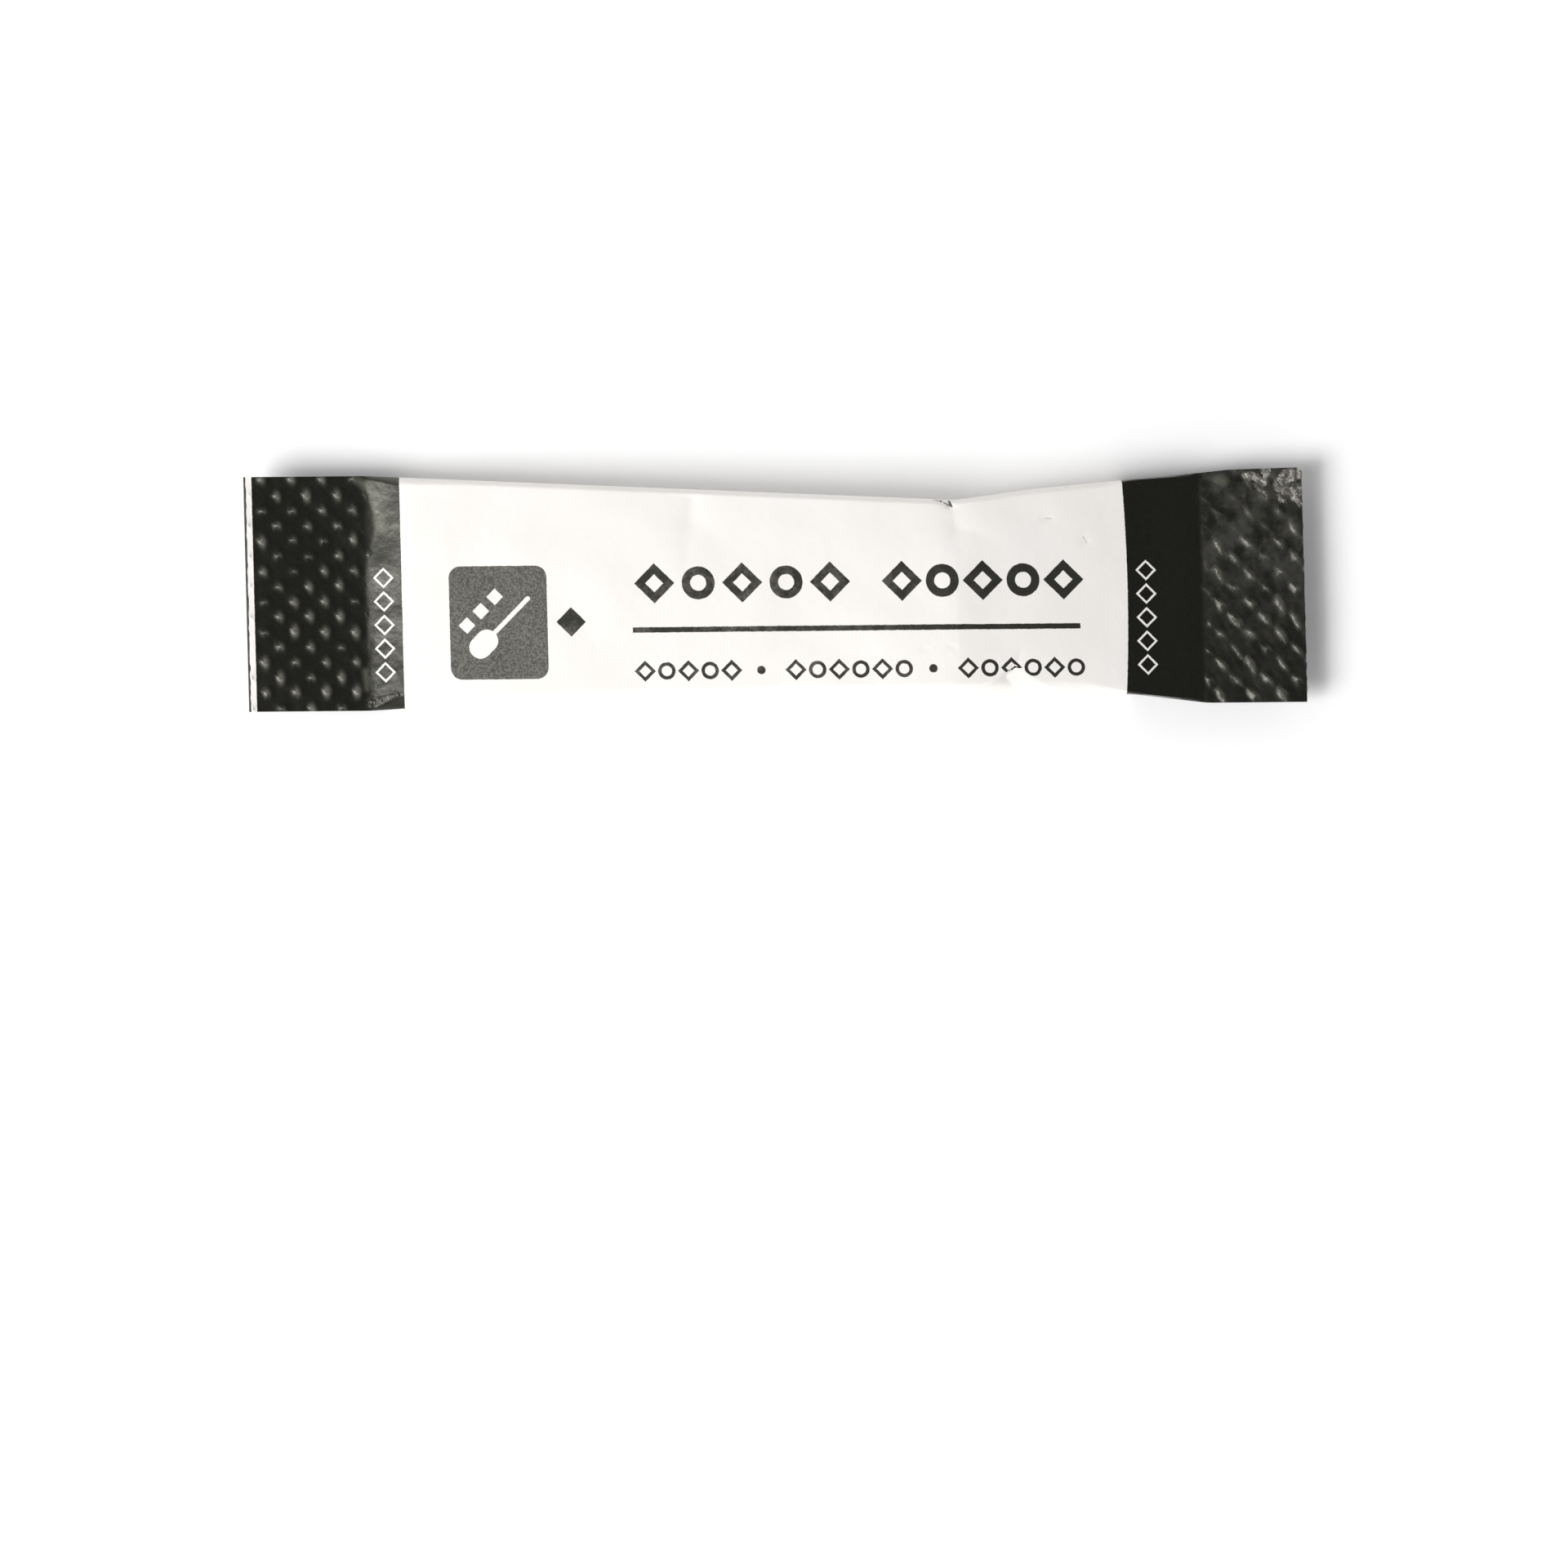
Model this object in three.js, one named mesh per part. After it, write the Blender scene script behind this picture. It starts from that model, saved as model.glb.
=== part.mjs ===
import * as THREE from "three";

// A paper stick of brown sugar, lying with its printed front up: a tube of paper, crimped flat
// and shut at both ends, with a lapped seam along its back.
// Millimetres, +Z up, +X along the stick. The origin is under the middle of the stick's box.

const { clamp, lerp, smoothstep } = THREE.MathUtils;

// The tube and its two seals
const stickLength = 89.7; // from cut to cut, along the middle
const flatWidth = 19.9; // where the tube is pressed flat
const cutLean = 0.016; // both cuts lean, by this share of the width
const leftSealLength = 10.3;
const rightSealLength = 8.8;
const sealThickness = 0.3; // both plies with their coating
const leftSealRise = 0.06; // how fast the left seal rises towards its cut; the right one is level
const leftMiddle = 2.4; // middle of the tube's thickness above the table, at each end of the body
const rightMiddle = 2.2;

// The crimp: bumps in rows and columns, each row set half a pitch on from the last.
// Its first row stands one step in from the cut.
const bumpSpacing = flatWidth / 15.5; // across the seals
const leftBumpRows = 8;
const rightBumpRows = 7;
const bumpHeight = 0.14;

const halfLength = stickLength / 2;
const leftSealEnd = leftSealLength - halfLength;
const rightSealStart = halfLength - rightSealLength;

// The places along the stick where each side bends, and how far it is drawn in there
const upperBends = [
  [leftSealEnd, 0],
  [15.4, 2.5],
  [18.9, 2.05],
  [21.6, 1.68],
  [27.2, 1.16],
  [rightSealStart, 0.42],
  [38.6, 0.16],
  [halfLength, 0],
];
const lowerBends = [
  [leftSealEnd, 0],
  [-31.5, 0.17],
  [-10, 0.58],
  [24.3, 0.87],
  [30.2, 0.78],
  [36.4, 0],
];

// The filled body. The girth stays the same, so the tube opens where its sides are drawn in
const opening = 3; // thickness where the sides are drawn in by 1 in all; it grows as the root of that
const leftShoulder = 4; // over this length the tube opens from flat
const rightShoulder = 9;
const backShare = 0.62; // of the thickness lies below the tube's middle, where the table presses it flat
const frontDome = 0.14; // how much lower the front is at its sides
const upperSideWidth = 0.5; // the front's sides turn down over this width, and the back's turn up
const lowerSideWidth = 1.15;
const backSideWidth = 3;
const upperFacetSpread = 0.2; // by the left seal the sides are facets, which widen at these rates
const lowerFacetSpread = 0.45;
const narrowestFacet = 0.1; // by the right seal they stay this narrow for a while, and then widen
const rightFacetStart = 6;
const rightFacetSpread = 0.25;
const roundFrom = 9; // this far from the seals the sides are round

// The share of the thickness above the tube's middle falls from the left to the right
const frontShares = [
  [15.4, 0.54],
  [28, 0.39],
];

// Dents in the front: a pinch that runs in from the upper side, and a hollow at the lower side,
// whose floor rises inwards and to the right, behind a short wall. A dent takes this share at most
// of the height that the front has over the tube's middle.
const pinch = { fromX: 15.2, toX: 15.6, fromY: 7.4, toY: 1.4, halfWidth: 1, depth: 0.2 };
const hollow = { x: 20.2, y: -6.62, slopeX: 0.17, slopeY: 0.24, wallSlope: 2.6 };
const hollowWall = [
  [14, -8.75],
  [17.2, -8.2],
  [18.1, -8],
  [19.2, -7.4],
  [20.1, -6.6],
  [20.9, -6.3],
];
// The hollow's depth along the stick is this at most
const hollowLimit = [
  [14.5, 0],
  [18.1, 0.22],
  [20.1, 0.5],
];
const deepestDent = 0.7;

// The lapped seam: the flap's cut edge runs along the middle of the back, one ply proud
const plyThickness = 0.1;
const flapFade = 0.9; // the inner ply is level with the flap again at this distance
const flapEdgeWidth = 0.12;

// The grid: columns across the width, and stretches along the stick with their own steps
const columns = 31;
const stretches = [
  { until: leftSealEnd, steps: 2 * leftBumpRows },
  { until: -31.5, steps: 3 },
  { until: leftSealEnd + roundFrom, steps: 4 },
  { until: -10, steps: 6 },
  { until: hollowWall[0][0], steps: 8 },
  { until: 15.4, steps: 3 },
  { until: hollowWall[2][0], steps: 4 },
  { until: hollowWall[4][0], steps: 4 },
  { until: 24.3, steps: 6 },
  { until: 30.2, steps: 4 },
  { until: rightSealStart, steps: 5 },
  { until: halfLength, steps: 2 * rightBumpRows },
];

// Follows a line of points from one to the next, and stays level past its ends
function along(points, x) {
  let value = points[0][1];
  for (let index = 1; index < points.length; index += 1) {
    const [[startX, startValue], [endX, endValue]] = [points[index - 1], points[index]];
    if (x > startX) value = lerp(startValue, endValue, clamp((x - startX) / (endX - startX), 0, 1));
  }
  return value;
}

// From 0 to 1, rising as a parabola
function parabola(share) {
  const held = clamp(share, 0, 1);
  return held * (2 - held);
}

function thicknessAt(x) {
  const drawnIn = along(upperBends, x) + along(lowerBends, x);
  const left = parabola((x - leftSealEnd) / leftShoulder);
  const right = parabola((rightSealStart - x) / rightShoulder);
  return opening * Math.sqrt(drawnIn) * left * right;
}

// Middle of the tube's thickness: it sinks a little along the body, and rises along the left seal
function middleAt(x) {
  const share = clamp((x - leftSealEnd) / (rightSealStart - leftSealEnd), 0, 1);
  return lerp(leftMiddle, rightMiddle, share) + leftSealRise * Math.max(0, leftSealEnd - x);
}

// The crimp lifts and sinks both plies together, as a product of two cosines
function crimp(x, y) {
  const fromCut = halfLength - Math.abs(x);
  const [sealLength, bumpRows] = x < 0 ? [leftSealLength, leftBumpRows] : [rightSealLength, rightBumpRows];
  if (fromCut >= sealLength) return 0;
  const lengthwise = Math.cos((Math.PI * fromCut * bumpRows) / sealLength);
  const across = Math.cos((Math.PI * (flatWidth / 2 - y)) / bumpSpacing);
  return -bumpHeight * lengthwise * across;
}

// A valley that is deepest at the side and runs out inwards
function pinchDepth(x, y) {
  const share = clamp((y - pinch.fromY) / (pinch.toY - pinch.fromY), 0, 1);
  const away = Math.abs(x - lerp(pinch.fromX, pinch.toX, share)) + Math.max(0, pinch.toY - y);
  return pinch.depth * (1 - share) * Math.exp(-away / pinch.halfWidth);
}

function hollowDepth(x, y) {
  const floor = hollow.slopeY * (hollow.y - y) - hollow.slopeX * (x - hollow.x);
  const wall = hollow.wallSlope * (along(hollowWall, x) - y);
  return Math.max(0, Math.min(floor, wall, along(hollowLimit, x)));
}

// Height of a side, from 0 at its edge to 1 at its width: a facet, or a quarter round
function sideForm(inward, width, round) {
  const share = clamp(inward / width, 0, 1);
  return lerp(share, Math.sqrt(1 - (1 - share) ** 2), round);
}

// Share of the half width at a column: even on the seals, closer at the sides where they are round
function columnShare(column, round) {
  const even = (2 * column) / columns - 1;
  return lerp(even, Math.sin((Math.PI / 2) * even), 0.75 * round);
}

// The two columns beside the middle close in on the flap's cut edge
function backColumnShare(column, section) {
  const beside = column - columns / 2;
  if (Math.abs(beside) > 0.5) return columnShare(column, section.round);
  return (beside * flapEdgeWidth - section.centre) / section.halfWidth;
}

// Width of a side's facet near the seals
function facetWidth(x, fromSeal, leftSpread) {
  if (x < 0) return Math.max(2 * narrowestFacet, leftSpread * fromSeal);
  return narrowestFacet + rightFacetSpread * Math.max(0, fromSeal - rightFacetStart);
}

function sectionAt(x) {
  const upper = flatWidth / 2 - along(upperBends, x);
  const lower = flatWidth / 2 - along(lowerBends, x);
  const fromSeal = Math.min(x - leftSealEnd, rightSealStart - x);
  return {
    centre: (upper - lower) / 2,
    halfWidth: (upper + lower) / 2,
    middle: middleAt(x),
    thickness: thicknessAt(x),
    round: smoothstep(fromSeal, 0, roundFrom),
    upperFacet: facetWidth(x, fromSeal, upperFacetSpread),
    lowerFacet: facetWidth(x, fromSeal, lowerFacetSpread),
  };
}

function frontPoint(x, column) {
  const section = sectionAt(x);
  const share = columnShare(column, section.round);
  const y = section.centre + section.halfWidth * share;
  const inward = section.halfWidth * (1 - Math.abs(share));
  const sideWidth =
    share < 0
      ? Math.min(lowerSideWidth, section.lowerFacet)
      : Math.min(upperSideWidth, section.upperFacet);
  const form = sideForm(inward, sideWidth, section.round);
  const rise = along(frontShares, x) * section.thickness * form;
  const dent = Math.min(pinchDepth(x, y) + hollowDepth(x, y), deepestDent * rise);
  const z = section.middle + sealThickness / 2 + rise * (1 - frontDome * share ** 2) - dent;
  return new THREE.Vector3(x - cutLean * y, y, z + crimp(x, y));
}

function backPoint(x, column) {
  const section = sectionAt(x);
  const share = backColumnShare(column, section);
  const y = section.centre + section.halfWidth * share;
  const inward = section.halfWidth * (1 - Math.abs(share));
  const sideWidth = Math.min(backSideWidth, section.lowerFacet);
  const sink = backShare * section.thickness * sideForm(inward, sideWidth, section.round);
  const bulged = section.middle - sealThickness / 2 - sink + crimp(x, y);
  const step = y > 0 ? plyThickness * clamp(1 - y / flapFade, 0, 1) : 0;
  return new THREE.Vector3(x - cutLean * y, y, Math.max(0, bulged) + step);
}

function stationPlaces() {
  const places = [-halfLength];
  for (const { until, steps } of stretches) {
    const from = places.at(-1);
    for (let step = 1; step <= steps; step += 1) {
      places.push(lerp(from, until, step / steps));
    }
  }
  return places;
}

// A closed skin: the front's grid, the back's grid, and strips that join their borders
function tubeGeometry() {
  const places = stationPlaces();
  const rows = places.length;
  const across = columns + 1;
  const positions = [];
  for (const point of [frontPoint, backPoint]) {
    for (const x of places) {
      for (let column = 0; column < across; column += 1) {
        positions.push(...point(x, column));
      }
    }
  }
  const front = (row, column) => row * across + column;
  const back = (row, column) => rows * across + front(row, column);
  const faces = [];
  // Corners go anticlockwise as seen from outside, and the cut starts at the first corner
  const quad = (a, b, c, d) => faces.push(a, b, c, a, c, d);
  const turnedQuad = (a, b, c, d) => quad(b, c, d, a);

  for (let row = 0; row < rows - 1; row += 1) {
    for (let column = 0; column < columns; column += 1) {
      const next = [row + 1, column + 1];
      const cut = (row + column) % 2 === 0 ? quad : turnedQuad; // the cuts meet at the bumps
      cut(front(row, column), front(next[0], column), front(next[0], next[1]), front(row, next[1]));
      cut(back(row, column), back(row, next[1]), back(next[0], next[1]), back(next[0], column));
    }
    quad(back(row, 0), back(row + 1, 0), front(row + 1, 0), front(row, 0));
    quad(front(row, columns), front(row + 1, columns), back(row + 1, columns), back(row, columns));
  }
  for (let column = 0; column < columns; column += 1) {
    const last = rows - 1;
    quad(front(0, column), front(0, column + 1), back(0, column + 1), back(0, column));
    quad(back(last, column), back(last, column + 1), front(last, column + 1), front(last, column));
  }

  const geometry = new THREE.BufferGeometry();
  geometry.setAttribute("position", new THREE.Float32BufferAttribute(positions, 3));
  geometry.setIndex(faces);
  geometry.computeVertexNormals();
  return geometry;
}

// Moves the geometry so that the origin is under the middle of its box
function standOnOrigin(geometry) {
  geometry.computeBoundingBox();
  const middle = geometry.boundingBox.getCenter(new THREE.Vector3());
  geometry.translate(-middle.x, -middle.y, -geometry.boundingBox.min.z);
  return geometry;
}

const whitePaper = new THREE.MeshStandardMaterial({ color: 0xefece8, roughness: 0.6, metalness: 0 });

const tube = new THREE.Mesh(standOnOrigin(tubeGeometry()), whitePaper);
tube.name = "sugar_stick";

const stick = new THREE.Group();
stick.add(tube);

export default stick;
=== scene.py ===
import math

import bpy
import numpy as np
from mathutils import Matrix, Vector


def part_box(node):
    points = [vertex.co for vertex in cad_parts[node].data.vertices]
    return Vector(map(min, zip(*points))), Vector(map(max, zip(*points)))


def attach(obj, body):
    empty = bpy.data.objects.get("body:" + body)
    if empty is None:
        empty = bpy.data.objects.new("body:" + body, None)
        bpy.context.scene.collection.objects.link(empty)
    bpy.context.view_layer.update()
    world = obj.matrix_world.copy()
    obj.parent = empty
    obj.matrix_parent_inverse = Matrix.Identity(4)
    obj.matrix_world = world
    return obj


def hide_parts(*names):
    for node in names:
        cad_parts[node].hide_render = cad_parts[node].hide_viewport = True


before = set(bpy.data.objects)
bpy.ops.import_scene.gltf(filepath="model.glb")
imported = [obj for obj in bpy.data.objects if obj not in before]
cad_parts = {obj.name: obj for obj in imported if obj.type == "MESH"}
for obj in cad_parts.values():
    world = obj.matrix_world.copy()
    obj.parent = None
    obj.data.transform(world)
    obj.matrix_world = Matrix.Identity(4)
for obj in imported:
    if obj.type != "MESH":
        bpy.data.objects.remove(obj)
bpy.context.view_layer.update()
print("frame loaded")

# A paper stick of brown sugar, printed front up. Shapes are worked out in millimetres
# and turned to metres when a mesh is made: x along the stick, y across it, z up.
mm = 0.001
low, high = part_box("sugar_stick")

tube = dict(
    halfWidth=(high.y - low.y) / 2 / mm,  # where it is pressed flat
    cutLean=0.016,  # the cuts lean by this share of the width
    leftSeal=10.3,
    rightSeal=8.8,
    plies=0.3,  # thickness of a seal
    leftHeight=2.4,  # middle of the tube over the table, at each end of the body
    rightHeight=2.2,
    leftRise=0.06,  # how fast the left seal rises towards its cut
    opening=3.0,  # a tube drawn in by d opens to this times the root of d
    leftShoulder=4.0,  # over this length the tube opens from flat
    rightShoulder=9.0,
    stations=410,
    columns=118,
)
cutX = (high.x - low.x) / 2 / mm - tube["cutLean"] * tube["halfWidth"]  # where the right cut meets y = 0
leftEnd = tube["leftSeal"] - cutX  # where the left seal meets the body
rightEnd = cutX - tube["rightSeal"]

# Where each long side bends, and how far it is drawn in there
upperBends = [(leftEnd, 0.0), (15.4, 2.5), (18.9, 2.05), (21.6, 1.68), (27.2, 1.16),
              (rightEnd, 0.42), (38.6, 0.16), (44.85, 0.0)]
lowerBends = [(leftEnd, 0.0), (-31.5, 0.17), (-10.0, 0.58), (24.3, 0.87), (30.2, 0.78), (36.4, 0.0)]
bendWidth = 0.4
softBend = 0.9  # added to that for the thickness, from softFrom to twice softFrom from the seals
softFrom = 3.0
# The left seal's end wanders: y, and how far into the body the paper stays pressed there
sealEdge = [(-9.2, -0.6), (-6.0, -0.45), (2.5, -0.4), (3.6, 0.25),
            (4.6, 0.7), (6.8, 0.7), (7.8, 0.4), (9.9, -1.2)]

body = dict(
    frontShare=0.54,  # of the thickness that lies over the tube's middle
    rightShare=0.39,  # the same at the right
    shareFalls=(15.4, 28.0),  # from one to the other along the stick
    backShare=0.62,
    dome=0.14,  # how much lower the front is at its sides
    upperSide=0.5,  # width of the rounded sides of the front, and of the back's
    lowerSide=1.15,
    backSide=3.0,
    leftFacet=(0.2, 0.45),  # from the left seal the upper and lower facets widen at these rates
    leftSharp=0.2,  # the least width of those
    rightFacet=0.25,  # rate at the right, from the end of a stretch where the sides are sharp
    rightSharp=0.1,
    rightSharpEnd=6.0,
    roundFrom=9.0,  # from the seal to here the facet turns into a round side
    lumps=0.04,  # height of the sugar's lumps under the paper, and how far apart they are
    lumpSize=5.0,
    waves=0.06,  # the same for the waves in the seals
    waveSize=7.0,
    sideShare=0.3,  # both are weaker at the sides, and reach their height as this + inward / fullSpan
    fullSpan=3.0,
    deepestDent=0.7,  # of the height over the tube's middle
    dentFade=0.7,  # width of the strip at the sides in which dents fade out
)

# Bumps stand on every other crossing of a square lattice, each height * (1 - distance / reach)^2
crimp = dict(
    pitch=1.287,  # of the lattice
    leftStart=(1.57, 9.65),  # a bump's distance from the cut, and its y
    rightStart=(0.69, 2.28),
    leftHeight=0.13,
    rightHeight=0.15,
    leftReach=0.7,
    rightReach=0.64,
    leftStretch=1.0,  # how much longer the bumps are along the diagonal that runs down to the right
    rightStretch=2.7,  # beside the body, and less towards the cut
    cutStretch=1.6,
    stretchFrom=(2.0, 7.0),  # the distances from the cut between which the stretch changes
    astray=0.06,  # how far the bumps stand out of their places
    wander=0.5,  # how far the crimp's end wanders
    leftUneven=0.2,
    rightUneven=0.55,
    leftDimples=0.012,  # height of the unevenness between the bumps
    rightDimples=0.04,
    weakAbove=(-4.4, -3.2),  # the right seal's crimp gets weak as y - slope * x goes from one to the other
    weakSlope=0.2,
    weakShare=0.45,
    fade=0.9,
    plainCut=(0.3, 0.9),  # the crimp sets in between these distances from the left cut
    peakTurns=0.6,  # radians over which the small peaks differ in direction
    peakHeights=(0.9, 0.55),  # span and least of their own shares of the height
    # the halo's painted sheen and rubbed ink set in between these
    haloFrom=(0.2, 1.0),  # ink is rubbed off as the halo goes from one to the other
)
# Small sharp peaks on the bumps, lit on their steep side, and the halo round each: ink rubbed pale, with a
# painted sheen
leftPeaks = dict(
    side=-1,
    start=crimp["leftStart"],
    ends=(leftEnd + 0.25, leftEnd - 0.15),  # they set in between these places along the stick
    peak=dict(Turn=0.4, Length=0.24, Steep=0.1, Tail=0.26),
    halo=dict(Turn=1.3, Length=0.55, Steep=0.3, Tail=0.3),
    shift=0.2,  # how far each is out of its place
    height=0.15,
    rough=0.35,  # how much their height crinkles
    weakest=1.0,  # share of the height where the crimp is weak
    rubbedAndSheen=0.85,
)
rightPeaks = dict(
    side=1,
    start=crimp["rightStart"],
    ends=(rightEnd + 0.1, rightEnd + 0.9),
    peak=dict(Turn=0.87, Length=0.52, Steep=0.12, Tail=0.16),
    halo=dict(Turn=0.87, Length=0.95, Steep=0.25, Tail=0.25),
    shift=0.3,
    height=0.12,
    rough=0.9,
    weakest=0.25,
    rubbedAndSheen=0.42,
)

# Valleys in the front: from, to, half width, depth, and what share of it is left at the end
dents = [
    ((15.2, 7.4), (15.6, 1.4), 1.0, 0.2, 0.1),
    ((15.6, 5.0), (19.0, 4.0), 0.9, 0.16, 0.2),
    ((-6.9, 7.6), (-7.4, 2.0), 1.0, 0.18, 0.2),
    ((-6.2, 5.6), (-3.8, 3.2), 1.2, 0.1, 0.3),
    ((20.3, -6.5), (20.8, -4.8), 0.4, 0.1, 0.0),
    ((22.95, 5.72), (23.4, 5.75), 0.17, 0.09, 1.0),
    ((26.15, 4.1), (26.4, 3.65), 0.17, 0.09, 1.0),
    ((12.3, -5.1), (12.8, -5.2), 0.16, 0.05, 1.0),
    ((14.7, -5.0), (15.1, -5.1), 0.16, 0.05, 1.0),
]
# Small folds in the upper side
nickFolds = [
    ((13.9, 7.6), (14.25, 7.2), 0.12, 0.4, 0.7),
    ((14.5, 7.6), (14.95, 7.0), 0.14, 0.6, 0.8),
    ((14.2, 7.3), (14.8, 6.9), 0.1, 0.25, 0.6),
]
# A hollow at the lower side: a facet that rises to the right and upwards, behind a short steep wall.
# Its depth grows from 0 at x and y up to a limit. Within tuckSpan some paper is tucked away, most of it at
# x, where the hollow is deeper than tuckDepth.
hollow = dict(
    x=20.2,
    y=-6.62,
    slopeX=0.17,
    slopeY=0.24,
    wallSlope=2.6,
    wall=[(14.0, -8.75), (17.2, -8.2), (18.1, -8.02), (19.2, -7.4), (20.1, -6.6), (20.9, -6.3)],
    limit=[(14.5, 0.0), (18.1, 0.22), (20.1, 0.5)],
    tuck=0.75,
    tuckSpan=(17.6, 22.9),
    tuckDepth=0.05,
)
# How closely the stations stand: on the seals, on the body, and more round the small folds and the hollow
density = dict(
    seals=1.3,
    body=0.65,
    spots=[dict(x=14.4, width=0.9, more=2.2), dict(x=20.2, width=2.2, more=1.2)],
    frontSides=0.7,  # how much the columns crowd at the sides of the body
    backSides=0.5,
    flapShare=0.2,  # but not in this share of the half width, beside the flap's edge
)

# The worn corner's middle and reach, and the height, size and seed of its crumples and creases
wornCorner = dict(x=42.3, y=9.2, along=3.4, across=1.9, crumples=[(0.08, 0.8, 5), (0.015, 0.4, 8)])
cuts = dict(
    lip=0.2,  # the front ply is cut this much shorter at the left
    ragged=0.03,  # how far that ply's edge wanders, and over what length
    raggedSize=0.7,
    cornerRound=0.45,  # of the worn corner
    reach=0.6,  # all three fade out over this length
    grooves=(0.03, -0.07),  # x of the groove between the plies, from the left cut and the right one
)

# The flap on the back: its width, the step at its cut edge and the low one over its inner edge, and
# where its whiter colour ends
seam = dict(width=1.8, step=0.1, fade=0.55, inner=0.035, whiteTo=(-2.6, -2.4))


def clamp(t):
    return np.clip(t, 0, 1)


def mix(a, b, t):
    return a + (b - a) * t


def ease(t):
    t = clamp(t)
    return t * t * (3 - 2 * t)


# 0 up to start, 1 from end, and straight between them
def ramp(value, start, end):
    return clamp((value - start) / (end - start))


# Sum of cosines in random directions, of wavelengths from size to three times size, about -1 to 1
def lumpy(x, y, size, seed, waves=22):
    draw = np.random.default_rng(seed)
    total = 0
    for turn, length, phase in draw.uniform((0, 1, 0), (2 * np.pi, 3, 2 * np.pi), (waves, 3)):
        total = total + np.cos(2 * np.pi * (x * np.cos(turn) + y * np.sin(turn)) / (size * length) + phase)
    return total / math.sqrt(waves)


# Straight runs between the bends, with the bends a little rounded
def alongBends(bends, x, width=bendWidth):
    places, values = zip(*bends)
    shifts = np.linspace(-1, 1, 5)
    return sum(np.interp(x + width * shift, places, values) for shift in shifts) / len(shifts)


# A groove along a straight line: exp of minus the distance over its width, a little rounded at the
# bottom, and weaker towards b
def groove(dent, x, y):
    (ax, ay), (bx, by), width, depth, left = dent
    length2 = (bx - ax) ** 2 + (by - ay) ** 2
    share = clamp(((x - ax) * (bx - ax) + (y - ay) * (by - ay)) / length2)
    away = np.hypot(x - ax - share * (bx - ax), y - ay - share * (by - ay))
    softAway = np.sqrt(away**2 + (0.2 * width) ** 2)
    return depth * np.exp(-softAway / width) * mix(1, left, share)


# Depth of the hollow, and the length of paper tucked away at its edge
def hollowDepth(x, y):
    floor = hollow["slopeY"] * (hollow["y"] - y) - hollow["slopeX"] * (x - hollow["x"])
    wall = hollow["wallSlope"] * (alongBends(hollow["wall"], x) - y)
    floor = np.minimum(floor, alongBends(hollow["limit"], x))
    depth = np.maximum(0, np.minimum(floor, wall))
    start, end = hollow["tuckSpan"]
    tucked = hollow["tuck"] * np.interp(x, (start, hollow["x"], end), (0, 1, 0))
    return depth, tucked * clamp(depth / hollow["tuckDepth"])


# 1 at the worn corner, and falling round it as a bell
def nearCorner(x, y):
    return np.exp(-(((x - wornCorner["x"]) / wornCorner["along"]) ** 2)
                  - ((y - wornCorner["y"]) / wornCorner["across"]) ** 2)


# Distance into the body from the nearer seal, below 0 on the seals
def fromSeal(x):
    return np.minimum(x - leftEnd, rightEnd - x)


# The girth stays the same, so the tube opens by the root of what its sides are drawn in
def thickness(x, y):
    width = bendWidth + softBend * ease(fromSeal(x) / softFrom - 1)
    drawn = alongBends(upperBends, x, width) + alongBends(lowerBends, x, width)
    pressed = alongBends(sealEdge, y)
    left = ramp(x - leftEnd, pressed, tube["leftShoulder"])
    right = clamp((rightEnd - x) / tube["rightShoulder"])
    return tube["opening"] * np.sqrt(drawn) * (left * (2 - left)) * (right * (2 - right))


# Middle of the thickness over the table: from one end's height to the other's, and rising on the left seal
def middle(x):
    curl = tube["leftRise"] * np.maximum(0, leftEnd - x)
    return mix(tube["leftHeight"], tube["rightHeight"], ramp(x, leftEnd, rightEnd)) + curl


# The crimp's relief, the same on both plies. Falling and rising count the bumps along the lattice's two
# diagonals, and a bump is as high as its distance from the nearest whole numbers says.
def crimpRelief(x, y):
    fromCut = cutX - np.abs(x)
    onLeft = x < 0
    startX, startY = (np.where(onLeft, crimp["leftStart"][n], crimp["rightStart"][n]) for n in range(2))
    height, reach, stretch, uneven, dimples = (
        np.where(onLeft, crimp["left" + key], crimp["right" + key])
        for key in ("Height", "Reach", "Stretch", "Uneven", "Dimples"))
    latticeX = (fromCut - startX + crimp["astray"] * lumpy(x, y, 1.2, 6)) * -np.sign(x)
    latticeY = y - startY + crimp["astray"] * lumpy(x, y, 1.2, 7)
    byCut = mix(crimp["cutStretch"], stretch, ramp(fromCut, *crimp["stretchFrom"]))
    stretch = np.where(onLeft, stretch, byCut)
    falling = (latticeX - latticeY) / 2 / crimp["pitch"]
    rising = (latticeX + latticeY) / 2 / crimp["pitch"]
    away = np.hypot((falling - np.round(falling)) / stretch, rising - np.round(rising))
    distance = math.sqrt(2) * crimp["pitch"] * away
    own = 1 + uneven * lumpy(7.3 * np.round(falling), 5.1 * np.round(rising), 3.0, 4)
    cover = ease((-fromSeal(x) + crimp["wander"] * lumpy(x, y, 2.5, 3)) / crimp["fade"])
    leaning = y - crimp["weakSlope"] * x
    weakness = mix(1, crimp["weakShare"], ease(ramp(leaning, *crimp["weakAbove"])))
    cover = cover * np.where(onLeft, ease(ramp(fromCut, *crimp["plainCut"])), weakness)
    return (height * own * (1 - clamp(distance / reach)) ** 2 + dimples * lumpy(x, y, 0.9, 9)) * cover


# Share of its height that a section has that many millimetres in from its side: a facet near the seals,
# and a quarter of a circle elsewhere
def sideProfile(inward, width, roundness):
    t = clamp(inward / width)
    return mix(t, np.sqrt(1 - (1 - t) ** 2), roundness)


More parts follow.
